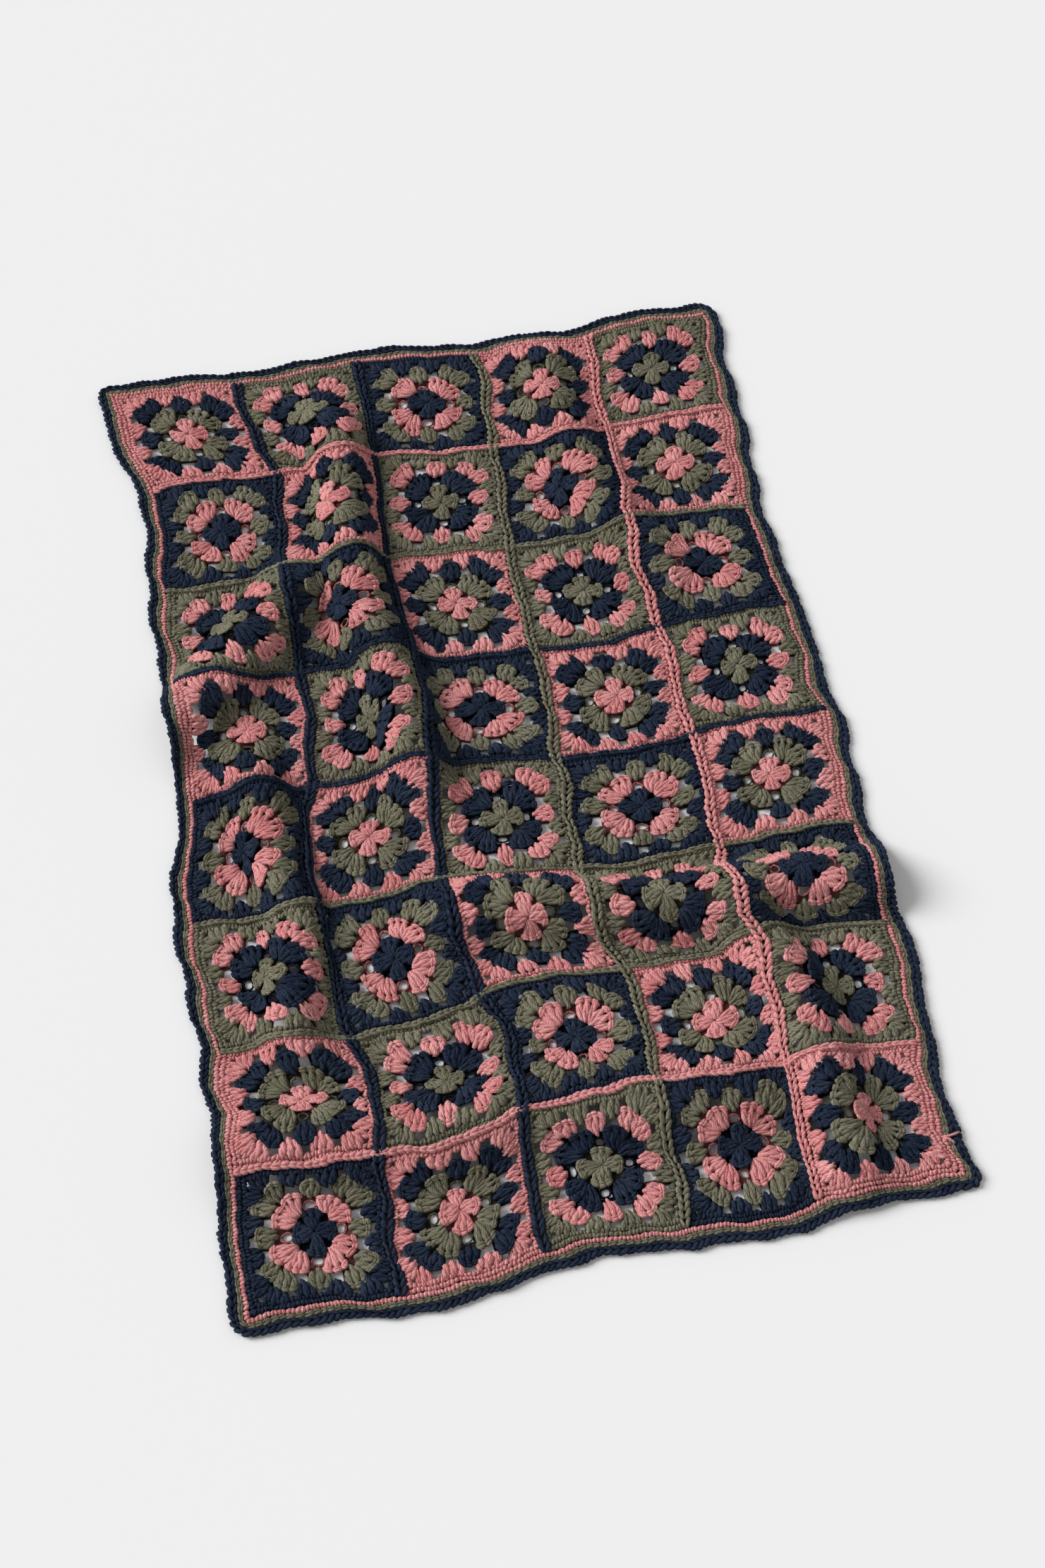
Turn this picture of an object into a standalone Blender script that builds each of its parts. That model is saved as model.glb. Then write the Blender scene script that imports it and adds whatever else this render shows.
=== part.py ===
"""Granny square blanket, crocheted in chunky wool and laid out in soft folds.

Forty square motifs are joined by raised chains into one sheet. Three crocheted
rounds, pink, olive and navy, go round its edge. Metres, +Z up, front edge at -Y.
"""
import math
from collections import namedtuple

import bmesh
import bpy
from mathutils import Vector

# Squares and how they are joined
COLUMNS = 5
ROWS = 8
PLAIN_ROWS = 1
SQUARE = 0.170
GAP = 0.010
JOIN_HALF_WIDTH = 0.008
JOIN_HEIGHT = 0.0035
THICKNESS = 0.008

# Border rounds from the inside out
PINK_WIDTH = 0.0062
OLIVE_WIDTH = 0.0058
NAVY_WIDTH = 0.0100
NAVY_CROWN = 0.0020
CLEARANCE = 0.0003
CORNER_CUT = 0.012
CORNER_SPREAD = 0.86

# Half the flat size of the joined squares
HALF_WIDTH = COLUMNS * SQUARE / 2
HALF_LENGTH = ROWS * SQUARE / 2

# Columns from the left and rows from the front where folds need closer lines
FOLDED_COLUMNS = (0, 1)
FOLDED_ROWS = (1, 2, 4, 5)

# Soft ridges of the laid cloth, at flat places: start and end of the crest, how far
# it bows sideways, height, reach to each side, and the length each end fades out over
Fold = namedtuple("Fold", "name start end bow height reach fade")
FOLDS = (
    Fold("long ridge, far left", (-0.148, 0.520), (-0.104, 0.030), 0.016, 0.046, 0.074, 0.150),
    Fold("broad crease, right", (-0.040, -0.222), (0.470, -0.262), 0.018, 0.040, 0.076, 0.150),
    Fold("roll near the front edge", (-0.470, -0.486), (0.130, -0.526), -0.016, 0.031, 0.088, 0.150),
    Fold("slant at the left edge", (-0.470, 0.096), (-0.262, 0.292), 0.012, 0.040, 0.078, 0.120),
    Fold("bend, near left", (-0.338, 0.010), (-0.330, -0.320), -0.046, 0.029, 0.062, 0.110),
    Fold("ridge, near right", (0.256, -0.340), (0.298, -0.610), -0.012, 0.036, 0.074, 0.120),
    Fold("ripple, far right", (0.176, 0.610), (0.268, 0.300), 0.018, 0.025, 0.068, 0.130),
)

# Slow wander of the edges in the plane: size, wavelength and phase
Sway = namedtuple("Sway", "size wavelength phase")
SIDE_SWAY = Sway(0.0065, 0.46, 0.7)
END_SWAY = Sway(0.0055, 0.38, 1.9)

# Lengths closer than this are the same place
SAME_PLACE = 1e-6

# Colour and surface of each yarn
PINK = (0.546, 0.204, 0.214)
OLIVE = (0.152, 0.147, 0.088)
NAVY = (0.022, 0.033, 0.062)
ROUGHNESS = 0.95
SHARP_ANGLE = math.radians(50)


def fold_shift(fold, u, v):
    """Lift of one fold over a flat point, and how far it draws the cloth in."""
    run = Vector(fold.end) - Vector(fold.start)
    length = run.length
    along_axis = run / length
    across_axis = Vector((along_axis.y, -along_axis.x))
    offset = Vector((u, v)) - Vector(fold.start)
    along = offset.dot(along_axis)
    past = max(-along, along - length, 0.0)
    fade = 0.5 * (1 + math.cos(math.pi * min(past / fold.fade, 1.0)))
    height = fold.height * fade
    crest = fold.bow * math.sin(math.pi * along / length) if past == 0.0 else 0.0
    q = max(-1.0, min(1.0, (offset.dot(across_axis) - crest) / fold.reach))
    lift = height * 0.5 * (1 + math.cos(math.pi * q))
    most = height ** 2 * math.pi ** 2 / (16 * fold.reach)
    draw = across_axis * -most * (q - math.sin(2 * math.pi * q) / (2 * math.pi))
    return draw, lift


def sway_at(sway, distance):
    """Sideways wander of the cloth at a distance along it."""
    return sway.size * math.sin(2 * math.pi * distance / sway.wavelength + sway.phase)


def drape(u, v):
    """Place of a flat point of the cloth's underside once it lies in its folds."""
    place = Vector((u + sway_at(SIDE_SWAY, v), v + sway_at(END_SWAY, u), 0.0))
    for fold in FOLDS:
        draw, lift = fold_shift(fold, u, v)
        place += Vector((draw.x, draw.y, lift))
    return place


def field_lines(count, folded):
    """Flat places of the grid's lines across a row of squares, from 0."""
    inner = JOIN_HALF_WIDTH + GAP
    middle = SQUARE / 2
    plain = [0.0, JOIN_HALF_WIDTH, inner, middle - GAP / 2, middle + GAP / 2,
             SQUARE - inner, SQUARE - JOIN_HALF_WIDTH]
    half_way = (inner + middle - GAP / 2) / 2
    lines = []
    for index in range(count):
        own = list(plain)
        if index in folded:
            own += [half_way, SQUARE - half_way]
        lines += [index * SQUARE + place for place in sorted(own)]
    return lines + [count * SQUARE]


def edge_stations(count):
    """Flat places along one side that the border rounds have points at, from 0."""
    places = [0.0, CORNER_CUT]
    for index in range(count):
        places += [index * SQUARE + SQUARE / 2 - GAP / 2, index * SQUARE + SQUARE / 2 + GAP / 2]
        places.append((index + 1) * SQUARE)
    return places[:-1] + [count * SQUARE - CORNER_CUT, count * SQUARE]


def rim_outline(out):
    """Flat outline a distance out from the squares, anticlockwise, one point a station."""
    across = [place - HALF_WIDTH for place in edge_stations(COLUMNS)][1:-1]
    along = [place - HALF_LENGTH for place in edge_stations(ROWS)][1:-1]
    corner = out * CORNER_SPREAD
    low, high = -HALF_LENGTH, HALF_LENGTH
    left, right = -HALF_WIDTH, HALF_WIDTH
    points = [(left - corner, low - corner)]
    points += [(u, low - out) for u in across]
    points += [(right + corner, low - corner)]
    points += [(right + out, v) for v in along]
    points += [(right + corner, high + corner)]
    points += [(u, high + out) for u in reversed(across)]
    points += [(left - corner, high + corner)]
    points += [(left - out, v) for v in reversed(along)]
    return points


def outline_middle():
    """Middle of the laid blanket's box, which becomes the origin."""
    out = PINK_WIDTH + OLIVE_WIDTH + NAVY_WIDTH
    places = [drape(u, v) for u, v in rim_outline(out)]
    across = [place.x for place in places]
    along = [place.y for place in places]
    return Vector(((min(across) + max(across)) / 2, (min(along) + max(along)) / 2, 0.0))


MIDDLE = outline_middle()


def lay(u, v):
    """Place of a flat point in the part's own frame."""
    return drape(u, v) - MIDDLE


def lay_on_side(along, stations, point_at):
    """Place on the squares' outer edge, straight between the border's stations."""
    later = next(place for place in stations if place >= along - SAME_PLACE)
    earlier = max([place for place in stations if place < later], default=later)
    if later - along < SAME_PLACE:
        return point_at(later)
    share = (along - earlier) / (later - earlier)
    return point_at(earlier).lerp(point_at(later), share)


def field_point(across, along):
    """Place of one grid point of the squares, with its edges on the border's stations."""
    u, v = across - HALF_WIDTH, along - HALF_LENGTH
    if along in (0.0, ROWS * SQUARE):
        return lay_on_side(across, edge_stations(COLUMNS), lambda s: lay(s - HALF_WIDTH, v))
    if across in (0.0, COLUMNS * SQUARE):
        return lay_on_side(along, edge_stations(ROWS), lambda s: lay(u, s - HALF_LENGTH))
    return lay(u, v)


def band_of(place):
    """Which band of a square a place lies in: side, middle or neither."""
    within = place % SQUARE
    from_join = min(within, SQUARE - within)
    if JOIN_HALF_WIDTH < from_join < JOIN_HALF_WIDTH + GAP:
        return "side"
    if abs(within - SQUARE / 2) < GAP / 2:
        return "middle"
    return ""


def is_gap(across, along):
    """Whether a grid face is an open gap: middles of the sides, and corners that show."""
    bands = {band_of(across), band_of(along)}
    if bands == {"side", "middle"}:
        return True
    row = int(along // SQUARE)
    return bands == {"side"} and row < ROWS - PLAIN_ROWS


def raise_solid(mesh_data, lift):
    """Turn an open sheet into a closed solid and return its upper points."""
    made = bmesh.ops.extrude_face_region(mesh_data, geom=mesh_data.faces[:], use_keep_orig=True)
    upper = [item for item in made["geom"] if isinstance(item, bmesh.types.BMVert)]
    bmesh.ops.translate(mesh_data, verts=upper, vec=(0.0, 0.0, lift))
    return upper


def finish_object(name, mesh_data, colour):
    """Make an object of a bmesh, with its own material, facing out and shaded smooth."""
    bmesh.ops.recalc_face_normals(mesh_data, faces=mesh_data.faces[:])
    mesh = bpy.data.meshes.new(name)
    mesh_data.to_mesh(mesh)
    mesh_data.free()
    mesh.shade_smooth()
    mesh.set_sharp_from_angle(angle=SHARP_ANGLE)
    mesh.materials.append(yarn_material(name, colour))
    piece = bpy.data.objects.new(name, mesh)
    BLANKET.objects.link(piece)
    return piece


def yarn_material(name, colour):
    """Matt wool of one colour."""
    material = bpy.data.materials.new(name)
    material.use_nodes = True
    shader = material.node_tree.nodes["Principled BSDF"]
    shader.inputs["Base Color"].default_value = (*colour, 1.0)
    shader.inputs["Roughness"].default_value = ROUGHNESS
    shader.inputs["Metallic"].default_value = 0.0
    return material


def make_squares():
    """Forty joined squares as one sheet, with open gaps and raised joins."""
    across_lines = field_lines(COLUMNS, FOLDED_COLUMNS)
    along_lines = field_lines(ROWS, FOLDED_ROWS)
    cells_across = len(across_lines) - 1
    cells_along = len(along_lines) - 1
    sheet = bmesh.new()
    bmesh.ops.create_grid(sheet, x_segments=cells_across, y_segments=cells_along, size=1.0)
    flat = {}
    for point in sheet.verts:
        across = across_lines[round((point.co.x + 1) / 2 * cells_across)]
        along = along_lines[round((point.co.y + 1) / 2 * cells_along)]
        flat[point] = (across, along)
    gaps = [face for face in sheet.faces if is_gap(*face_middle(face, flat))]
    bmesh.ops.delete(sheet, geom=gaps, context="FACES")
    joins = [point for point in sheet.verts if on_join(*flat[point])]
    for point in sheet.verts:
        point.co = field_point(*flat[point])
    places = {tuple(point.co.xy) for point in joins}
    for point in raise_solid(sheet, THICKNESS):
        if tuple(point.co.xy) in places:
            point.co.z += JOIN_HEIGHT
    return finish_object("granny_squares", sheet, PINK)


def face_middle(face, flat):
    """Flat middle of a grid face."""
    across = [flat[point][0] for point in face.verts]
    along = [flat[point][1] for point in face.verts]
    return sum(across) / len(across), sum(along) / len(along)


def on_join(across, along):
    """Whether a grid point lies on the line where two squares are joined."""
    for place, count in ((across, COLUMNS), (along, ROWS)):
        line = round(place / SQUARE)
        if abs(place - line * SQUARE) < SAME_PLACE and 0 < line < count:
            return True
    return False


def make_round(name, start, width, crown, colour):
    """One border round: a closed strip that follows the cloth's edge and folds."""
    outs = [start, start + width]
    if crown:
        outs.insert(1, start + width / 2)
    strip = bmesh.new()
    loops = []
    for out in outs:
        loops.append([strip.verts.new(lay(u, v)) for u, v in rim_outline(out)])
    for inner, outer in zip(loops, loops[1:]):
        for here in range(len(inner)):
            after = (here + 1) % len(inner)
            strip.faces.new((inner[here], outer[here], outer[after], inner[after]))
    crests = {tuple(point.co.xy) for point in loops[1]} if crown else set()
    for point in raise_solid(strip, THICKNESS):
        if tuple(point.co.xy) in crests:
            point.co.z += crown
    return finish_object(name, strip, colour)


def make_border():
    """Pink, olive and navy rounds, each a clearance from the one before."""
    start = CLEARANCE
    make_round("border_pink", start, PINK_WIDTH - CLEARANCE, 0.0, PINK)
    start = PINK_WIDTH + CLEARANCE
    make_round("border_olive", start, OLIVE_WIDTH - CLEARANCE, 0.0, OLIVE)
    start = PINK_WIDTH + OLIVE_WIDTH + CLEARANCE
    make_round("border_navy", start, NAVY_WIDTH - CLEARANCE, NAVY_CROWN, NAVY)


for old in list(bpy.data.objects):
    bpy.data.objects.remove(old, do_unlink=True)

BLANKET = bpy.data.collections.new("granny_square_blanket")
bpy.context.scene.collection.children.link(BLANKET)

make_squares()
make_border()
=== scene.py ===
"""Looks of a crocheted granny square blanket, laid out in soft folds.

Every stitch is worked flat, square by square, by Geometry Nodes. The flat work
is then laid over the same folds as the solids. Metres, +Z up, front edge at -Y.
"""
import math
from collections import namedtuple

import bpy
import numpy as np
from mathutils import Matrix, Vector


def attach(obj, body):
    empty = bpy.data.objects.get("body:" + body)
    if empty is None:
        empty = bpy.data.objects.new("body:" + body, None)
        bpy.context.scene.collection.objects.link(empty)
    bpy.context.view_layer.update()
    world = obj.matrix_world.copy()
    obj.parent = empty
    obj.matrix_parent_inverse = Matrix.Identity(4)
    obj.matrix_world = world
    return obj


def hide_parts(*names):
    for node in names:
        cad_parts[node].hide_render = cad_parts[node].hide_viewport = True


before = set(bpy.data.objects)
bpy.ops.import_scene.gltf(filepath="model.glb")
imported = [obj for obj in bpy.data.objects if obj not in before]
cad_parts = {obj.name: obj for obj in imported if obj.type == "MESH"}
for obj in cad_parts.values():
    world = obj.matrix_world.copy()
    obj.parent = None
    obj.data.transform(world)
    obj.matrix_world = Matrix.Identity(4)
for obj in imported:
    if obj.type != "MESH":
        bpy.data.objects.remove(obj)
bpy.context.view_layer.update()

# Squares and border rounds, as in the solids
COLUMNS = 5
ROWS = 8
SQUARE = 0.170
PINK_WIDTH = 0.0062
OLIVE_WIDTH = 0.0058
NAVY_WIDTH = 0.0100
BORDER = PINK_WIDTH + OLIVE_WIDTH + NAVY_WIDTH
HALF_WIDTH = COLUMNS * SQUARE / 2
HALF_LENGTH = ROWS * SQUARE / 2

# Soft ridges of the laid cloth, as in the solids
Fold = namedtuple("Fold", "name start end bow height reach fade")
FOLDS = (
    Fold("long ridge, far left", (-0.148, 0.520), (-0.104, 0.030), 0.016, 0.046, 0.074, 0.150),
    Fold("broad crease, right", (-0.040, -0.222), (0.470, -0.262), 0.018, 0.040, 0.076, 0.150),
    Fold("roll near the front edge", (-0.470, -0.486), (0.130, -0.526), -0.016, 0.031, 0.088, 0.150),
    Fold("slant at the left edge", (-0.470, 0.096), (-0.262, 0.292), 0.012, 0.040, 0.078, 0.120),
    Fold("bend, near left", (-0.338, 0.010), (-0.330, -0.320), -0.046, 0.029, 0.062, 0.110),
    Fold("ridge, near right", (0.256, -0.340), (0.298, -0.610), -0.012, 0.036, 0.074, 0.120),
    Fold("ripple, far right", (0.176, 0.610), (0.268, 0.300), 0.018, 0.025, 0.068, 0.130),
)
Sway = namedtuple("Sway", "size wavelength phase")
SIDE_SWAY = Sway(0.0065, 0.46, 0.7)
END_SWAY = Sway(0.0055, 0.38, 1.9)

# Small pulls of single stitches and squares: size and wavelengths of each. The pull along
# the blanket changes more slowly than the pull across it
Pull = namedtuple("Pull", "size across along phase")
PULLS = (
    Pull(0.0018, 0.131, 0.097, 0.3),
    Pull(0.0012, 0.061, 0.083, 2.1),
    Pull(0.0007, 0.037, 0.029, 4.4),
)
PULL_SLOWNESS = 0.83

# Points on each edge that find the outline's middle, and the step that finds a slope
OUTLINE_POINTS = 400
SLOPE_STEP = 0.0005

# Colours of the rounds of each square, from the centre out, and which of these orders the
# front left square has
PINK, OLIVE, NAVY = "pink", "olive", "navy"
COLOURS = (PINK, OLIVE, NAVY)
SQUARE_ROUNDS = (
    (PINK, OLIVE, NAVY, PINK),
    (OLIVE, NAVY, PINK, OLIVE),
    (NAVY, PINK, OLIVE, NAVY),
)
FIRST_SQUARE = 2
LENGTHWAYS_JOINS = (NAVY, NAVY, OLIVE, PINK)
CROSSWAYS_JOINS = (PINK, OLIVE, OLIVE, NAVY, NAVY, OLIVE, PINK)

# How the three posts of a cluster stand: its height, how far the outer posts are from
# the middle one at foot, waist and head, how much shorter they are at foot and head,
# how thick and how high the foot is, and whether a chain shows along its heads
Shape = namedtuple("Shape", "name height foot waist head foot_round head_round foot_size foot_level chain")
SHAPES = (
    Shape("petal", 0.0215, 0.0012, 0.0056, 0.0076, 0.0000, 0.0022, 0.62, 0.0066, True),
    Shape("fan", 0.0258, 0.0030, 0.0070, 0.0088, 0.0004, 0.0024, 0.85, 0.0048, True),
    Shape("ball", 0.0236, 0.0054, 0.0084, 0.0078, 0.0036, 0.0022, 1.12, 0.0044, True),
    Shape("shell", 0.0206, 0.0062, 0.0088, 0.0094, 0.0038, 0.0000, 1.30, 0.0046, False),
    Shape("corner", 0.0221, 0.0054, 0.0082, 0.0092, 0.0034, 0.0000, 1.26, 0.0046, False),
)
VARIANTS = 2

# Clusters on the upper side of a square, from its centre: round, shape, and foot and
# head in metres across and out. Those off the middle line have a mirrored twin
Cluster = namedtuple("Cluster", "round shape foot head")
CLUSTERS = (
    Cluster(0, "petal", (0.0000, 0.0010), (0.0000, 0.0225)),
    Cluster(1, "fan", (0.0150, 0.0195), (0.0225, 0.0443)),
    Cluster(2, "ball", (0.0000, 0.0402), (0.0000, 0.0638)),
    Cluster(2, "ball", (0.0350, 0.0412), (0.0430, 0.0628)),
    Cluster(3, "shell", (0.0195, 0.0565), (0.0195, 0.0765)),
    Cluster(3, "corner", (0.0510, 0.0570), (0.0575, 0.0775)),
)

# Chain round the gap at the middle of a side: where it is, its half sizes, its yarn, and
# how far it rises and thickens in waves
Rim = namedtuple("Rim", "place across out level radius steps wave swell")
GAP_RIM = Rim((0.0, 0.0318), 0.0068, 0.0058, 0.0030, 0.0016, 8, 0.0006, 0.14)

# Rows of short stitches outside the clusters: distance from the centre and number a side
Row = namedtuple("Row", "out count")
HEADS_ROW = Row(0.0764, 17)
RIM_ROW = Row(0.0820, 19)
EDGE_PITCH = SQUARE / RIM_ROW.count

# One post: two strands that twist round each other, thickest at the waist
STRAND = 0.0029
STRAND_SIZES = (0.94, 1.06)
POST_SHARES = (0.0, 0.13, 0.44, 0.78, 1.0)
POST_RADII = (0.70, 1.02, 1.08, 1.02, 0.80)
POST_SPREAD = 0.0022
POST_DEPTH = 0.0014
POST_TWIST = 1.30 * math.pi
POST_START = 0.20 * math.pi
START_WANDER = 0.5
FOOT_GROWTH = 1.6
END_SPREAD = 0.8
WAIST_SPREAD = 0.25
HEAD_LEVEL = 0.0056
SWELL = 0.0009
CROWN = 0.0010

# One strand of a short stitch: places along and across, heights and radii, end to end.
# In heads and chains the places across and the radii are shares of a width and a radius,
# and heights there and in V's count from a level
Leg = namedtuple("Leg", "along across levels radii")
HEAD_LEG = Leg((-0.0038, -0.0012, 0.0024, 0.0054), (0.10, 0.85, 1.00, 0.35),
               (-0.0012, 0.0004, 0.0008, -0.0010), (0.55, 0.86, 0.86, 0.55))
CROCHET_LEG = Leg((0.0006, 0.0022, 0.0030), (-0.0031, -0.0003, 0.0026),
                  (-0.0016, 0.0008, -0.0004), (0.0018, 0.0029, 0.0023))
CHAIN_LEG = Leg((-0.0050, -0.0012, 0.0032, 0.0070), (0.14, 0.72, 1.02, 0.80),
                (0.0002, 0.0012, 0.0004, -0.0016), (0.66, 1.02, 1.04, 0.66))
EDGE_ALONG = (-0.0056, -0.0026, 0.0010, 0.0044, 0.0068)
FAT_LEG = Leg(EDGE_ALONG, (-0.0012, 0.0012, 0.0031, 0.0037, 0.0028),
              (0.0050, 0.0062, 0.0060, 0.0048, 0.0034), (0.0017, 0.0028, 0.0032, 0.0028, 0.0015))
THIN_LEG = Leg(EDGE_ALONG, (0.0002, -0.0017, -0.0031, -0.0035, -0.0026),
               (0.0046, 0.0060, 0.0060, 0.0050, 0.0036), (0.0013, 0.0021, 0.0024, 0.0021, 0.0012))
CORE_LEGS = tuple(Leg((-0.0046, 0.0, 0.0046), (across, across, across),
                      (0.0028, 0.0032, 0.0028), (0.0022, 0.0025, 0.0022))
                  for across in (-0.0040, 0.0006))
LONG_END = Leg((0.0, 0.0012, -0.0006, -0.0038), (0.0, 0.0060, 0.0120, 0.0170),
               (0.0072, 0.0100, 0.0118, 0.0112), (0.0017, 0.0020, 0.0018, 0.0012))
SHORT_END = Leg((0.0016, 0.0050, 0.0090, 0.0120), (0.0, 0.0048, 0.0078, 0.0088),
                (0.0070, 0.0098, 0.0100, 0.0092), (0.0016, 0.0019, 0.0017, 0.0012))

# Level of the short V's, and half width, level and radius of each chain
CROCHET_LEVEL = 0.0056
Chain = namedtuple("Chain", "name width level radius")
LOW_CHAIN = Chain("low_chain", 0.0017, 0.0050, 0.0019)
WIDE_CHAIN = Chain("wide_chain", 0.0046, 0.0088, 0.0028)
NARROW_CHAIN = Chain("narrow_chain", 0.0021, 0.0084, 0.0023)

# How uneven the stitches of a kind are, in radians of turn and as a share of their size
CLUSTER_UNEVENNESS = 0.08
RIM_UNEVENNESS = 0.10
CHAIN_UNEVENNESS = 0.06

# Base cloth under the stitches: flat lines of a square's cells from its centre out, the
# cells that are open, how far each inner round reaches, and the hem under the border
BASE_LINES = (0.007, 0.012, 0.026, 0.032, 0.037, 0.046, 0.060, 0.064, 0.076, 0.085)
OPEN_CELLS = ((0, 3), (0, 4), (2, 6), (0, 8), (4, 8), (5, 8), (8, 8))
ROUND_REACH = (0.027, 0.046, 0.064)
BASE_LEVEL = 0.0016
BASE_THICKNESS = 0.0012
BASE_HEM = 0.0070
BASE_SEED = 3
GAP_WANDER = 0.0011

# Chain along a cluster's heads: half width, how far past them and over them it lies, and
# how far its height wanders
HEAD_WIDTH = 0.0019
HEAD_OUT = 0.0008
HEAD_RISE = 0.0018
HEAD_WANDER = 0.0003

# How far a point of a stitch wanders
WANDER = 0.00028

# Height over the underside at which the yarn is in full light
FULL_DEPTH = 0.010
YARN_UV = "yarn"

# One loose end of yarn on the border, and how far it is from the front corner
LOOSE_END = 0.048


def fold_shift(fold, u, v):
    """Pull in the plane and lift of one fold at flat places."""
    start, end = np.array(fold.start), np.array(fold.end)
    length = float(np.linalg.norm(end - start))
    way = (end - start) / length
    side = np.array((way[1], -way[0]))
    along = (u - start[0]) * way[0] + (v - start[1]) * way[1]
    past = np.maximum(np.maximum(-along, along - length), 0.0)
    height = fold.height * 0.5 * (1 + np.cos(np.pi * np.minimum(past / fold.fade, 1.0)))
    crest = np.where(past == 0.0, fold.bow * np.sin(np.pi * along / length), 0.0)
    across = (u - start[0]) * side[0] + (v - start[1]) * side[1] - crest
    q = np.clip(across / fold.reach, -1.0, 1.0)
    lift = height * 0.5 * (1 + np.cos(np.pi * q))
    most = height ** 2 * np.pi ** 2 / (16 * fold.reach)
    draw = -most * (q - np.sin(2 * np.pi * q) / (2 * np.pi))
    return side[0] * draw, side[1] * draw, lift


def sway_at(sway, distance):
    """Sideways wander of the cloth at distances along it."""
    return sway.size * np.sin(2 * np.pi * distance / sway.wavelength + sway.phase)


def drape(u, v):
    """Places of flat points of the cloth's underside once it lies in its folds."""
    x = u + sway_at(SIDE_SWAY, v)
    y = v + sway_at(END_SWAY, u)
    z = np.zeros_like(x)
    for fold in FOLDS:
        shift_x, shift_y, lift = fold_shift(fold, u, v)
        x = x + shift_x
        y = y + shift_y
        z = z + lift
    return np.stack((x, y, z), axis=-1)


def outline_middle():
    """Middle of the laid blanket's outline, which is the frame's origin."""
    u = np.linspace(-1, 1, OUTLINE_POINTS) * (HALF_WIDTH + BORDER)
    v = np.linspace(-1, 1, OUTLINE_POINTS) * (HALF_LENGTH + BORDER)
    ends = [drape(u, np.full_like(u, side * v[-1])) for side in (-1, 1)]
    sides = [drape(np.full_like(v, side * u[-1]), v) for side in (-1, 1)]
    places = np.concatenate(ends + sides)
    return (places.min(0) + places.max(0)) / 2 * (1, 1, 0)


MIDDLE = outline_middle()


def lay(flat):
    """Lay flat points, with heights over the underside, over the folds."""
    u, v, level = flat.T
    for pull in PULLS:
        phase = 2 * np.pi * (flat[:, 0] / pull.across + flat[:, 1] / pull.along) + pull.phase
        u = u + pull.size * np.sin(phase)
        v = v + pull.size * np.cos(phase * PULL_SLOWNESS)
    under = drape(u, v)
    right = drape(u + SLOPE_STEP, v) - under
    far = drape(u, v + SLOPE_STEP) - under
    normal = np.cross(right, far)
    normal /= np.linalg.norm(normal, axis=1)[:, None]
    return under - MIDDLE + normal * level[:, None]


def strand(points, radii, sides):
    """Points, faces and yarn map of one closed strand along a line of points."""
    line = np.array(points, float)
    ways = np.gradient(line, axis=0)
    ways /= np.linalg.norm(ways, axis=1)[:, None]
    reach = np.concatenate(([0.0], np.cumsum(np.linalg.norm(np.diff(line, axis=0), axis=1))))
    corners, faces, maps = [], [], []
    for place, way, radius in zip(line, ways, radii):
        side = np.cross(way, (0.0, 0.0, 1.0))
        side /= np.linalg.norm(side)
        up = np.cross(side, way)
        for turn in range(sides):
            angle = 2 * math.pi * turn / sides - math.pi / 2
            corners.append(place + radius * (math.cos(angle) * side + math.sin(angle) * up))
    for ring in range(len(line) - 1):
        for turn in range(sides):
            after = (turn + 1) % sides
            here, there = ring * sides, (ring + 1) * sides
            faces.append((here + turn, here + after, there + after, there + turn))
            low, high = turn / sides, (turn + 1) / sides
            near, far = reach[ring], reach[ring + 1]
            maps += [(near, low), (near, high), (far, high), (far, low)]
    last = (len(line) - 1) * sides
    faces.append(tuple(reversed(range(sides))))
    faces.append(tuple(last + turn for turn in range(sides)))
    maps += [(0.0, 0.0)] * sides + [(reach[-1], 0.0)] * sides
    return corners, faces, maps


def stitch_pattern(name, strands, sides=4):
    """A hidden mesh of one stitch, from its strands' lines and radii."""
    corners, faces, maps = [], [], []
    for points, radii in strands:
        more_corners, more_faces, more_maps = strand(points, radii, sides)
        faces += [tuple(index + len(corners) for index in face) for face in more_faces]
        corners += more_corners
        maps += more_maps
    mesh = bpy.data.meshes.new(name)
    mesh.from_pydata([tuple(corner) for corner in corners], [], faces)
    layer = mesh.uv_layers.new(name=YARN_UV)
    layer.data.foreach_set("uv", np.array(maps, np.float32).ravel())
    mesh.shade_smooth()
    return bpy.data.objects.new(name, mesh)


def post_strands(shape, post, draw):
    """Two strands of one post: -1, 0 or 1 for the left, middle or right one."""
    spreads = (shape.foot, shape.waist, shape.head)
    start = POST_START + draw.uniform(-START_WANDER, START_WANDER)
    for half in (0, 1):
        points, radii = [], []
        for share, size in zip(POST_SHARES, POST_RADII):
            swell = math.sin(math.pi * share)
            thick = shape.foot_size + (1 - shape.foot_size) * min(1.0, FOOT_GROWTH * share)
            angle = start + POST_TWIST * share + half * math.pi
            across = post * np.interp(share, (0.0, 0.5, 1.0), spreads)
            spread = POST_SPREAD * thick * (END_SPREAD + WAIST_SPREAD * swell)
            low = abs(post) * shape.foot_round
            high = shape.height - abs(post) * shape.head_round
            level = shape.foot_level + (HEAD_LEVEL - shape.foot_level) * share + SWELL * swell
            points.append((across + spread * math.cos(angle), low + (high - low) * share,
                           level + CROWN * (1 - abs(post)) + POST_DEPTH * thick * math.sin(angle)))
            radii.append(STRAND * size * thick * draw.uniform(*STRAND_SIZES))
        yield points, radii


def leg_line(leg):
    """Line and radii of one strand of a short stitch."""
    return list(zip(leg.along, leg.across, leg.levels)), leg.radii


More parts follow.
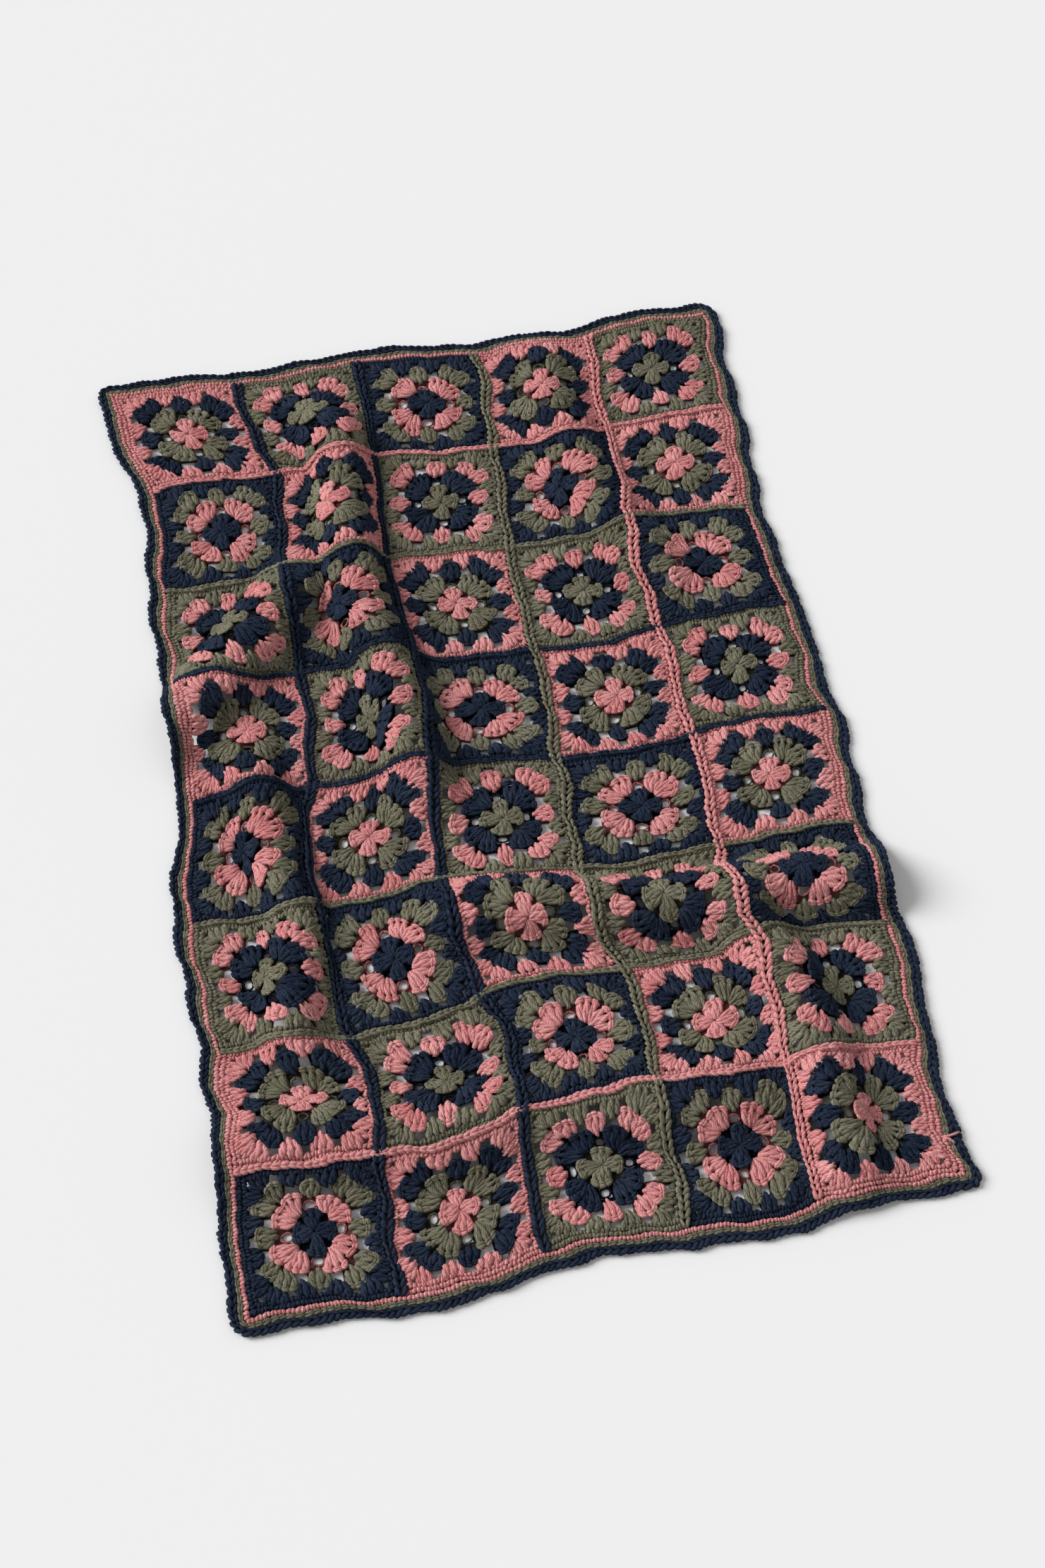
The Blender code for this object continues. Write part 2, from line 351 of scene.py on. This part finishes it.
def head_chain(shape, draw):
    """Three linked loops along a cluster's heads, each of two strands."""
    for post in (-1, 0, 1):
        for side in (-1, 1):
            along = [post * shape.head + step for step in HEAD_LEG.along]
            bend = [shape.head_round * (place / shape.head) ** 2 for place in along]
            reach = [side * HEAD_WIDTH * share for share in HEAD_LEG.across]
            out = [shape.height + HEAD_OUT + way - low for way, low in zip(reach, bend)]
            level = HEAD_LEVEL + HEAD_RISE + draw.uniform(-HEAD_WANDER, HEAD_WANDER)
            levels = [level + lift for lift in HEAD_LEG.levels]
            radii = [STRAND * size for size in HEAD_LEG.radii]
            yield leg_line(Leg(along, out, levels, radii))


def cluster_pattern(index, variant):
    """A hidden mesh of one cluster: three posts, and its chain of heads if that shows."""
    shape = SHAPES[index]
    draw = np.random.RandomState(10 * index + variant)
    strands = [pair for post in (-1, 0, 1) for pair in post_strands(shape, post, draw)]
    if shape.chain:
        strands += head_chain(shape, draw)
    return stitch_pattern(f"{index}{variant}_{shape.name}", strands)


def gap_rim():
    """A hidden mesh of the chain that runs round the gap at the middle of a side."""
    turns = np.linspace(0.0, 2 * math.pi, GAP_RIM.steps + 1) + math.pi / 2
    line = np.stack((GAP_RIM.across * np.cos(turns), GAP_RIM.out * np.sin(turns),
                     GAP_RIM.level + GAP_RIM.wave * np.cos(3 * turns)), axis=-1)
    radii = GAP_RIM.radius * (1 + GAP_RIM.swell * np.cos(4 * turns))
    return stitch_pattern(f"{len(SHAPES)}0_gap_rim", [(line, radii)])


def single_crochet(name):
    """A plump little V of two strands."""
    legs = []
    for side in (-1, 1):
        along = [side * place for place in CROCHET_LEG.along]
        levels = [CROCHET_LEVEL + lift for lift in CROCHET_LEG.levels]
        legs.append(leg_line(CROCHET_LEG._replace(along=along, levels=levels)))
    return stitch_pattern(name, legs)


def chain_stitch(chain):
    """A chain's link: two legs that part from the last link and dive under the next."""
    legs = []
    for side in (-1, 1):
        across = [side * chain.width * share for share in CHAIN_LEG.across]
        levels = [chain.level + lift for lift in CHAIN_LEG.levels]
        radii = [chain.radius * share for share in CHAIN_LEG.radii]
        legs.append(leg_line(Leg(CHAIN_LEG.along, across, levels, radii)))
    return stitch_pattern(chain.name, legs)


def edge_stitch():
    """A link of the border's rope-like edge: a fat outer leg, a thinner inner one and cores."""
    return stitch_pattern("edge_stitch", [leg_line(leg) for leg in (FAT_LEG, THIN_LEG, *CORE_LEGS)])


def loose_end():
    """A short end of yarn in two strands that was never woven in."""
    return stitch_pattern("stitch_with_loose_end", [leg_line(leg) for leg in (LONG_END, SHORT_END)])


def pattern_box(name, patterns):
    """A hidden collection that the tree picks its stitches from."""
    box = bpy.data.collections.new(name)
    for pattern in patterns:
        box.objects.link(pattern)
    return box


class Places:
    """Where stitches of one colour stand: place, turn, length and kind of each."""

    def __init__(self):
        self.rows = []

    def add(self, place, way, length=1.0, kind=0):
        """One stitch at a flat place whose own upward side looks along way."""
        turn = math.atan2(way[1], way[0]) - math.pi / 2
        self.rows.append((place[0], place[1], turn, length, kind))

    def mesh(self, name):
        """The places as loose points that carry the turn, size and kind of each stitch."""
        table = np.array(self.rows, np.float32)
        mesh = bpy.data.meshes.new(name)
        mesh.vertices.add(len(table))
        flat, turns, sizes = np.zeros((3, len(table), 3), np.float32)
        flat[:, :2] = table[:, :2]
        turns[:, 2] = table[:, 2]
        sizes[:] = 1.0
        sizes[:, 1] = table[:, 3]
        mesh.vertices.foreach_set("co", flat.ravel())
        for label, values in (("turn", turns), ("size", sizes)):
            attribute = mesh.attributes.new(label, "FLOAT_VECTOR", "POINT")
            attribute.data.foreach_set("vector", values.ravel())
        kinds = mesh.attributes.new("kind", "INT", "POINT")
        kinds.data.foreach_set("value", table[:, 4].astype(np.int32))
        return mesh


def turned(point, quarter):
    """A point turned by quarter turns anticlockwise round the square's centre."""
    across, out = point
    for _ in range(quarter):
        across, out = -out, across
    return across, out


def square_colours(column, row):
    """Colours of a square's rounds, by its place in the blanket."""
    return SQUARE_ROUNDS[(column + row + FIRST_SQUARE) % len(SQUARE_ROUNDS)]


def each_square():
    """Column, row and flat centre of every square."""
    for row in range(ROWS):
        for column in range(COLUMNS):
            yield column, row, ((column + 0.5) * SQUARE - HALF_WIDTH, (row + 0.5) * SQUARE - HALF_LENGTH)


def each_cluster():
    """Clusters of one side of a square, with the mirrored twins."""
    for cluster in CLUSTERS:
        yield cluster
        if cluster.foot[0]:
            foot, head = cluster.foot, cluster.head
            yield cluster._replace(foot=(-foot[0], foot[1]), head=(-head[0], head[1]))


def work_squares():
    """Places of every cluster by colour and half of the blanket."""
    names = [shape.name for shape in SHAPES]
    clusters = {(colour, half): Places() for colour in COLOURS for half in ("front", "back")}
    for column, row, centre in each_square():
        colours = square_colours(column, row)
        half = "front" if row < ROWS // 2 else "back"
        for quarter in range(4):
            rim = np.array(turned(GAP_RIM.place, quarter))
            clusters[colours[1], half].add(rim + centre, rim, kind=VARIANTS * len(SHAPES))
            for turn, cluster in enumerate(each_cluster()):
                index = names.index(cluster.shape)
                foot = np.array(turned(cluster.foot, quarter))
                head = np.array(turned(cluster.head, quarter))
                length = float(np.linalg.norm(head - foot)) / SHAPES[index].height
                kind = VARIANTS * index + (column + row + quarter + turn) % VARIANTS
                clusters[colours[cluster.round], half].add(foot + centre, head - foot, length, kind)
    return clusters


def work_rims():
    """Places of the short stitches round every square, by colour."""
    rims = {colour: Places() for colour in COLOURS}
    for column, row, centre in each_square():
        places = rims[square_colours(column, row)[-1]]
        for quarter in range(4):
            way = turned((0.0, 1.0), quarter)
            beside = column + way[0]
            hidden = way[0] and 0 <= beside < COLUMNS
            for line in (HEADS_ROW,) if hidden else (HEADS_ROW, RIM_ROW):
                pitch = 2 * line.out / line.count
                for stitch in range(line.count):
                    across = (stitch + 0.5) * pitch - line.out
                    places.add(np.array(centre) + turned((across, line.out), quarter), way)
    return rims


def work_joins():
    """Places of the chains that join the squares, by colour."""
    lengthways = {colour: Places() for colour in COLOURS}
    crossways = {colour: Places() for colour in COLOURS}
    for index, colour in enumerate(LENGTHWAYS_JOINS):
        u = (index + 1) * SQUARE - HALF_WIDTH
        for stitch in range(ROWS * RIM_ROW.count):
            v = (stitch + 0.5) * EDGE_PITCH - HALF_LENGTH
            lengthways[colour].add((u, v), (-1.0, 0.0))
    for index, colour in enumerate(CROSSWAYS_JOINS):
        v = (index + 1) * SQUARE - HALF_LENGTH
        for stitch in range(COLUMNS * RIM_ROW.count):
            u = (stitch + 0.5) * EDGE_PITCH - HALF_WIDTH
            crossways[colour].add((u, v), (0.0, 1.0))
    return lengthways, crossways


def rounded_outline(out):
    """Places and outward ways along the border at a distance out, one a stitch."""
    corner = np.array(((1, 1), (-1, 1), (-1, -1), (1, -1)))
    lengths = (2 * HALF_LENGTH, 2 * HALF_WIDTH)
    arc = out * math.pi / 2
    total = 2 * sum(lengths) + 4 * arc
    count = round(total / EDGE_PITCH)
    for stitch in range(count):
        reach = (stitch + 0.5) * total / count
        for side in range(4):
            straight = lengths[side % 2]
            start = corner[(side + 3) % 4] * (HALF_WIDTH, HALF_LENGTH)
            finish = corner[side] * (HALF_WIDTH, HALF_LENGTH)
            angle = side * math.pi / 2
            if reach < straight:
                way = np.array((math.cos(angle), math.sin(angle)))
                yield start + (finish - start) * reach / straight + way * out, way
                break
            reach -= straight
            if reach < arc:
                angle += reach / out
                way = np.array((math.cos(angle), math.sin(angle)))
                yield finish + way * out, way
                break
            reach -= arc


def work_border(out):
    """Places of one border round's stitches."""
    places = Places()
    for place, way in rounded_outline(out):
        places.add(place, way)
    return places


def border_work(yarn_end):
    """Colour, places and patterns of each border round."""
    rounds = (
        (PINK, PINK_WIDTH / 2, [single_crochet("border_stitch"), yarn_end]),
        (OLIVE, PINK_WIDTH + OLIVE_WIDTH / 2, [chain_stitch(LOW_CHAIN)]),
        (NAVY, BORDER - NAVY_WIDTH / 2, [edge_stitch()]),
    )
    for colour, out, patterns in rounds:
        places = work_border(out)
        if yarn_end in patterns:
            places.add((HALF_WIDTH + out, LOOSE_END - HALF_LENGTH), (1.0, 0.0), kind=1)
        yield colour, places, patterns


def stitches_tree():
    """Geometry Nodes tree that sets a stitch at every place and makes it one mesh."""
    tree = bpy.data.node_groups.new("worked_stitches", "GeometryNodeTree")
    face = tree.interface
    face.new_socket("Places", in_out="INPUT", socket_type="NodeSocketGeometry")
    face.new_socket("Patterns", in_out="INPUT", socket_type="NodeSocketCollection")
    face.new_socket("Yarn", in_out="INPUT", socket_type="NodeSocketMaterial")
    face.new_socket("Unevenness", in_out="INPUT", socket_type="NodeSocketFloat")
    face.new_socket("Seed", in_out="INPUT", socket_type="NodeSocketInt")
    face.new_socket("Stitches", in_out="OUTPUT", socket_type="NodeSocketGeometry")
    add, link = tree.nodes.new, tree.links.new
    given, result = add("NodeGroupInput"), add("NodeGroupOutput")
    patterns = add("GeometryNodeCollectionInfo")
    patterns.inputs["Separate Children"].default_value = True
    link(given.outputs["Patterns"], patterns.inputs["Collection"])
    readers = {}
    for label, kind in (("turn", "FLOAT_VECTOR"), ("size", "FLOAT_VECTOR"), ("kind", "INT")):
        readers[label] = add("GeometryNodeInputNamedAttribute")
        readers[label].data_type = kind
        readers[label].inputs["Name"].default_value = label
    uneven_turn = random_vector(tree, given, 0)
    uneven_size = random_vector(tree, given, 1)
    whole_turn = vector_maths(tree, "ADD", readers["turn"].outputs["Attribute"], uneven_turn)
    change = vector_maths(tree, "ADD", uneven_size, (1.0, 1.0, 1.0))
    whole_size = vector_maths(tree, "MULTIPLY", readers["size"].outputs["Attribute"], change)
    place = add("GeometryNodeInstanceOnPoints")
    place.inputs["Pick Instance"].default_value = True
    link(given.outputs["Places"], place.inputs["Points"])
    link(patterns.outputs["Instances"], place.inputs["Instance"])
    link(readers["kind"].outputs["Attribute"], place.inputs["Instance Index"])
    link(whole_turn, place.inputs["Rotation"])
    link(whole_size, place.inputs["Scale"])
    tone = add("GeometryNodeStoreNamedAttribute")
    tone.data_type, tone.domain = "FLOAT", "INSTANCE"
    tone.inputs["Name"].default_value = "tone"
    shade = add("FunctionNodeRandomValue")
    link(given.outputs["Seed"], shade.inputs["Seed"])
    link(place.outputs["Instances"], tone.inputs["Geometry"])
    link(shade.outputs["Value"], tone.inputs["Value"])
    real, dyed = add("GeometryNodeRealizeInstances"), add("GeometryNodeSetMaterial")
    link(tone.outputs["Geometry"], real.inputs["Geometry"])
    link(real.outputs["Geometry"], dyed.inputs["Geometry"])
    link(given.outputs["Yarn"], dyed.inputs["Material"])
    link(dyed.outputs["Geometry"], result.inputs["Stitches"])
    return tree


def random_vector(tree, given, offset):
    """A random vector for each stitch, scaled by the tree's unevenness."""
    seed = tree.nodes.new("ShaderNodeMath")
    seed.operation = "ADD"
    seed.inputs[1].default_value = offset
    tree.links.new(given.outputs["Seed"], seed.inputs[0])
    draw = tree.nodes.new("FunctionNodeRandomValue")
    draw.data_type = "FLOAT_VECTOR"
    draw.inputs["Min"].default_value = (-1.0, -1.0, -1.0)
    draw.inputs["Max"].default_value = (1.0, 1.0, 1.0)
    tree.links.new(seed.outputs[0], draw.inputs["Seed"])
    scale = tree.nodes.new("ShaderNodeVectorMath")
    scale.operation = "SCALE"
    tree.links.new(draw.outputs["Value"], scale.inputs[0])
    tree.links.new(given.outputs["Unevenness"], scale.inputs["Scale"])
    return scale.outputs[0]


def vector_maths(tree, operation, first, second):
    """Output of one Vector Math node on a link and a link or fixed vector."""
    node = tree.nodes.new("ShaderNodeVectorMath")
    node.operation = operation
    tree.links.new(first, node.inputs[0])
    if isinstance(second, tuple):
        node.inputs[1].default_value = second
    else:
        tree.links.new(second, node.inputs[1])
    return node.outputs[0]


def make_stitches(name, places, patterns, yarn, unevenness, seed):
    """One plain mesh of stitches, worked flat by the tree and then laid."""
    source = bpy.data.objects.new(name + "_places", places.mesh(name + "_places"))
    bpy.context.scene.collection.objects.link(source)
    worked = source.modifiers.new("stitches", "NODES")
    worked.node_group = STITCHES
    values = {"Patterns": patterns, "Yarn": yarn, "Unevenness": unevenness, "Seed": seed}
    for item in STITCHES.interface.items_tree:
        if item.in_out == "INPUT" and item.name in values:
            worked[item.identifier] = values[item.name]
    shown = source.evaluated_get(bpy.context.evaluated_depsgraph_get())
    mesh = bpy.data.meshes.new_from_object(shown)
    source.modifiers.remove(worked)
    bpy.data.objects.remove(source)
    mesh.name = name
    return lay_piece(name, mesh)


def lay_piece(name, mesh):
    """Lay a flat mesh over the folds and make it a piece in the scene."""
    flat = np.zeros(len(mesh.vertices) * 3)
    mesh.vertices.foreach_get("co", flat)
    flat = flat.reshape(-1, 3)
    # Height over the underside, which the finishes turn into painted shade where it is low
    depth = mesh.attributes.new("depth", "FLOAT", "POINT")
    depth.data.foreach_set("value", flat[:, 2].astype(np.float32) / FULL_DEPTH)
    flat += np.random.RandomState(len(flat)).uniform(-WANDER, WANDER, flat.shape)
    flat[:, 2] = np.maximum(flat[:, 2], 0.0)
    mesh.vertices.foreach_set("co", lay(flat).astype(np.float32).ravel())
    mesh.update()
    piece = bpy.data.objects.new(name, mesh)
    bpy.context.scene.collection.objects.link(piece)
    return piece


class Value:
    """A shader socket on which Python's operators add Math nodes."""

    def __init__(self, shade, socket):
        self.shade = shade
        self.socket = socket

    def maths(self, operation, first, second):
        """A Math node on two values, either of which may be a number."""
        return self.shade.node("ShaderNodeMath", {"operation": operation}, {0: first, 1: second})

    def __add__(self, other):
        return self.maths("ADD", self, other)

    def __sub__(self, other):
        return self.maths("SUBTRACT", self, other)

    def __rsub__(self, other):
        return self.maths("SUBTRACT", other, self)

    def __mul__(self, other):
        return self.maths("MULTIPLY", self, other)

    def __pow__(self, other):
        return self.maths("POWER", self, other)

    __radd__ = __add__
    __rmul__ = __mul__


class Shade:
    """A node material that is written as expressions."""

    def __init__(self, name):
        self.material = bpy.data.materials.new(name)
        self.material.use_nodes = True
        self.tree = self.material.node_tree
        self.shader = self.tree.nodes["Principled BSDF"]

    def node(self, kind, settings=None, inputs=None, output=0):
        """One output of a new node, from its settings and its sockets' values or links."""
        made = self.tree.nodes.new(kind)
        for key, value in (settings or {}).items():
            setattr(made, key, value)
        for key, value in (inputs or {}).items():
            self.feed(made.inputs[key], value)
        return Value(self, made.outputs[output])

    def feed(self, socket, value):
        """Link a value to a socket, or set the socket to a number or colour."""
        if isinstance(value, Value):
            self.tree.links.new(value.socket, socket)
        elif isinstance(value, tuple) and socket.type == "RGBA":
            socket.default_value = (*value, 1.0)
        else:
            socket.default_value = value

    def mix(self, share, first, second):
        """Colours mixed by a share."""
        return self.node("ShaderNodeMix", {"data_type": "RGBA"}, {0: share, 6: first, 7: second}, output=2)

    def noise(self, place, scale, detail):
        """Noise at a place."""
        return self.node("ShaderNodeTexNoise", inputs={"Vector": place, "Scale": scale, "Detail": detail})

    def share(self, measure, ramp):
        """A share that follows a measure along a ramp."""
        return self.node("ShaderNodeMapRange", inputs={0: measure, **dict(enumerate(ramp, 1))})

    def attribute(self, name):
        """A number that the mesh carries."""
        return self.node("ShaderNodeAttribute", {"attribute_name": name}, output="Fac")


# Painted shade colour for crevices and between plies, main and light fibre colour of each yarn, and the
# strength of its soft sheen
Yarn = namedtuple("Yarn", "deep body light sheen")
YARNS = {
    PINK: Yarn((0.130, 0.022, 0.026), (0.550, 0.164, 0.168), (0.930, 0.490, 0.480), 0.30),
    OLIVE: Yarn((0.014, 0.013, 0.008), (0.102, 0.096, 0.061), (0.310, 0.295, 0.215), 0.30),
    NAVY: Yarn((0.0008, 0.0014, 0.0040), (0.0066, 0.0118, 0.0280), (0.042, 0.058, 0.096), 0.12),
}

# Slanted plies: how long one turn is, and how many there are round the yarn
PLY_LENGTH = 0.018
PLIES = 5

# Size of fibres, heather and streaks, in turns a metre or round the yarn
FIBRE_SCALE = 1500.0
HEATHER_SCALE = 230.0
STREAKS_ALONG = 120.0
STREAKS_TURN = 330.0
STREAKS_AROUND = 12.0

# How far a stitch's own tone moves its streaks, and how much lighter it makes them
TONE_ALONG = 40.0
TONE_ACROSS = 17.0
TONE_LIGHT = 0.10

# A share runs from start to end while its measure runs from low to high
Ramp = namedtuple("Ramp", "low high start end")
LIGHT_STREAKS = Ramp(0.42, 0.68, 0.0, 0.75)
LIGHT_FLECKS = Ramp(0.54, 0.74, 0.0, 0.5)
# Painted shade in crevices: the yarn darkens by its height over the underside
PAINTED_CREVICE_SHADE = Ramp(0.26, 0.78, 0.85, 0.0)
# Painted shade near the underside, darkening the lowest yarn and the backing towards black
PAINTED_UNDERSIDE_SHADE = Ramp(0.16, 0.36, 0.55, 0.0)

# Shares of streaks and heather in the lightness, how far plies lift out of the painted crevice shade, and
# how much painted shade falls between them
STREAK_SHARE = 0.6
HEATHER_SHARE = 0.4
PLY_LIFT = 0.05
PLY_SHADE = 0.42

# Heights of the yarn's own relief as shares of the bump, and the matt surface of wool
Relief = namedtuple("Relief", "ply streaks fibre heather")
RELIEF = Relief(0.50, 0.60, 0.35, 0.30)
BUMP_STRENGTH = 0.8
BUMP_DEPTH = 0.0008
WOOL_ROUGHNESS = 0.92
WOOL_GLOSS = 0.06
SHEEN_ROUGHNESS = 0.60
UNDERSIDE_SHADE_COLOUR = (0.0, 0.0, 0.0)


def yarn_finish(colour):
    """Matt heathered wool with streaks along the yarn, slanted plies and light fibres, and painted shade in
    crevices, between plies and near the underside.
    """
    yarn = YARNS[colour]
    shade = Shade(colour + "_wool")
    place = shade.node("ShaderNodeTexCoord", output="Object")
    strand_map = shade.node("ShaderNodeUVMap", {"uv_map": YARN_UV})
    along = shade.node("ShaderNodeSeparateXYZ", inputs={0: strand_map}, output="X")
    around = shade.node("ShaderNodeSeparateXYZ", inputs={0: strand_map}, output="Y")
    tone = shade.attribute("tone")
    depth = shade.attribute("depth")
    turns = (along * (PLIES / PLY_LENGTH) + around * PLIES) * (2 * math.pi)
    ply = shade.node("ShaderNodeMath", {"operation": "SINE"}, {0: turns}) * 0.5 + 0.5
    on_yarn = shade.node("ShaderNodeCombineXYZ", inputs={
        0: along * STREAKS_ALONG + tone * TONE_ALONG,
        1: around * STREAKS_AROUND + along * STREAKS_TURN,
        2: tone * TONE_ACROSS})
    streaks = shade.noise(on_yarn, 1.0, 3.0)
    heather = shade.noise(place, HEATHER_SCALE, 3.0)
    fibre = shade.noise(place, FIBRE_SCALE, 2.0)
    lightness = streaks * STREAK_SHARE + heather * HEATHER_SHARE + tone * TONE_LIGHT
    body = shade.mix(shade.share(lightness, LIGHT_STREAKS), yarn.body, yarn.light)
    flecked = shade.mix(shade.share(fibre, LIGHT_FLECKS), body, yarn.light)
    # Painted shade in crevices by height, with ply tops lifted out of it
    crevice_shade = shade.share(depth + ply * PLY_LIFT, PAINTED_CREVICE_SHADE)
    crevice_shaded = shade.mix(crevice_shade, flecked, yarn.deep)
    # Painted shade in the grooves between the plies
    plied = shade.mix((1 - ply) ** 3 * PLY_SHADE, crevice_shaded, yarn.deep)
    # Painted shade near the underside, towards black
    shaded = shade.mix(shade.share(depth, PAINTED_UNDERSIDE_SHADE), plied, UNDERSIDE_SHADE_COLOUR)
    height = (ply * RELIEF.ply + streaks * RELIEF.streaks + fibre * RELIEF.fibre
              + heather * RELIEF.heather)
    bump = shade.node("ShaderNodeBump", inputs={
        "Height": height, "Strength": BUMP_STRENGTH, "Distance": BUMP_DEPTH})
    for name, value in (("Base Color", shaded), ("Normal", bump),
                        ("Roughness", WOOL_ROUGHNESS), ("Specular IOR Level", WOOL_GLOSS),
                        ("Sheen Weight", yarn.sheen), ("Sheen Roughness", SHEEN_ROUGHNESS),
                        ("Sheen Tint", yarn.light)):
        shade.feed(shade.shader.inputs[name], value)
    return shade.material


def base_round(near, far):
    """Round that a cell of the base cloth lies in, by its two places from the centre."""
    reach = max(near, far)
    return sum(reach > limit for limit in ROUND_REACH)


def make_base(yarns):
    """Thin backing in the squares' colours under the stitches, open at every gap, which the finishes paint
    in dark painted shade.
    """
    half = list(BASE_LINES)
    lines = [-place for place in reversed(half)] + half
    cells = len(lines) - 1
    middle = cells // 2
    u = [(column + 0.5) * SQUARE - HALF_WIDTH + place for column in range(COLUMNS) for place in lines[:-1]]
    v = [(row + 0.5) * SQUARE - HALF_LENGTH + place for row in range(ROWS) for place in lines[:-1]]
    u.append(HALF_WIDTH)
    v.append(HALF_LENGTH)
    for places in (u, v):
        places[0] -= BASE_HEM
        places[-1] += BASE_HEM
    corners = np.array([(a, b, BASE_LEVEL) for b in v for a in u])
    wander = np.random.RandomState(BASE_SEED).uniform(-GAP_WANDER, GAP_WANDER, (len(corners), 2))
    corners[:, :2] += wander
    faces, slots = [], []
    for column, row, _ in each_square():
        colours = square_colours(column, row)
        for i in range(cells):
            for j in range(cells):
                if tuple(sorted((abs(i - middle), abs(j - middle)))) in OPEN_CELLS:
                    continue
                first = (row * cells + j) * len(u) + column * cells + i
                above = first + len(u)
                faces.append((first, first + 1, above + 1, above))
                across, out = abs(lines[i] + lines[i + 1]) / 2, abs(lines[j] + lines[j + 1]) / 2
                slots.append(COLOURS.index(colours[base_round(across, out)]))
    mesh = bpy.data.meshes.new("square_base")
    mesh.from_pydata([tuple(corner) for corner in corners], [], faces)
    for colour in COLOURS:
        mesh.materials.append(yarns[colour])
    mesh.polygons.foreach_set("material_index", slots)
    layer = mesh.uv_layers.new(name=YARN_UV)
    layer.data.foreach_set("uv", np.zeros(len(mesh.loops) * 2, np.float32))
    mesh.shade_smooth()
    piece = lay_piece("square_base", mesh)
    thick = piece.modifiers.new("thickness", "SOLIDIFY")
    thick.thickness = BASE_THICKNESS
    thick.offset = 0.0
    return piece


def hold(piece, slot, *nodes):
    """Ride a piece on the blanket's body and hide the solids it stands for. The slot is not used."""
    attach(piece, "root")
    if nodes:
        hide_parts(*nodes)
    return piece


def make_blanket():
    """Every piece of the blanket: base, clusters, rims, joins and border rounds."""
    yarns = {colour: yarn_finish(colour) for colour in COLOURS}
    kinds = [cluster_pattern(index, variant) for index in range(len(SHAPES)) for variant in range(VARIANTS)]
    kinds.append(gap_rim())
    work = [(f"{colour}_clusters_{half}", colour, places, kinds, CLUSTER_UNEVENNESS)
            for (colour, half), places in work_squares().items()]
    lengthways, crossways = work_joins()
    for ending, rows, patterns, unevenness in (
            ("_square_rims", work_rims(), [single_crochet("rim_stitch")], RIM_UNEVENNESS),
            ("_long_joins", lengthways, [chain_stitch(WIDE_CHAIN)], CHAIN_UNEVENNESS),
            ("_cross_joins", crossways, [chain_stitch(NARROW_CHAIN)], CHAIN_UNEVENNESS)):
        work += [(colour + ending, colour, places, patterns, unevenness) for colour, places in rows.items()]
    work += [(f"border_{colour}_stitches", colour, places, patterns, CHAIN_UNEVENNESS)
             for colour, places, patterns in border_work(loose_end())]
    for seed, (name, colour, places, patterns, unevenness) in enumerate(work):
        box = pattern_box(name + "_patterns", patterns)
        piece = make_stitches(name, places, box, yarns[colour], unevenness, 2 * seed)
        replaced = ["border_" + colour] if name.startswith("border_") else []
        hold(piece, colour + "_yarn", *replaced)
    base = hold(make_base(yarns), "square_yarn", "granny_squares")


# Floor and studio: sizes in metres, light strengths, and the window's way and width in degrees
FLOOR_SIZE = 160.0
FLOOR_COLOUR = (0.85, 0.85, 0.86)
FLOOR_ROUGHNESS = 0.85
ALL_ROUND_LIGHT = 0.42
WINDOW_LIGHT = 3.2
WINDOW_WIDTH = 34.0
WINDOW_WAY = Vector((2.4, -1.1, -1.9))


def make_floor():
    """Pale matt floor that the blanket lies on."""
    shade = Shade("pale_floor")
    shade.feed(shade.shader.inputs["Base Color"], FLOOR_COLOUR)
    shade.feed(shade.shader.inputs["Roughness"], FLOOR_ROUGHNESS)
    bpy.ops.mesh.primitive_plane_add(size=FLOOR_SIZE, location=(0.0, 0.0, 0.0))
    floor = bpy.context.object
    floor.name = "floor"
    floor.data.materials.append(shade.material)


def make_studio():
    """Plain soft studio light: a broad window at the far left and light from all round."""
    world = bpy.data.worlds.new("studio")
    world.use_nodes = True
    background = world.node_tree.nodes["Background"]
    background.inputs["Color"].default_value = (1.0, 1.0, 1.0, 1.0)
    background.inputs["Strength"].default_value = ALL_ROUND_LIGHT
    bpy.context.scene.world = world
    bpy.context.scene.view_settings.view_transform = "Standard"
    data = bpy.data.lights.new("window", "SUN")
    data.energy = WINDOW_LIGHT
    data.angle = math.radians(WINDOW_WIDTH)
    window = bpy.data.objects.new("window", data)
    window.rotation_euler = WINDOW_WAY.to_track_quat("-Z", "Y").to_euler()
    bpy.context.scene.collection.objects.link(window)


# Camera: degrees round from the front edge and above the floor, and metres away
CAMERA_AZIMUTH = -11.0
CAMERA_ELEVATION = 60.0
CAMERA_DISTANCE = 3.0
CAMERA_LENS = 54.0
CAMERA_AIM = Vector((0.02, -0.045, 0.0))


def make_camera():
    """Upright camera above the front edge, a little to the left."""
    data = bpy.data.cameras.new("camera")
    data.lens = CAMERA_LENS
    data.sensor_fit = "AUTO"
    camera = bpy.data.objects.new("camera", data)
    azimuth, elevation = math.radians(CAMERA_AZIMUTH), math.radians(CAMERA_ELEVATION)
    back = Vector((math.sin(azimuth) * math.cos(elevation),
                   -math.cos(azimuth) * math.cos(elevation), math.sin(elevation)))
    camera.location = CAMERA_AIM + back * CAMERA_DISTANCE
    camera.rotation_euler = (-back).to_track_quat("-Z", "Y").to_euler()
    bpy.context.scene.collection.objects.link(camera)
    bpy.context.scene.camera = camera


STITCHES = stitches_tree()
make_camera()
make_blanket()
make_floor()
make_studio()
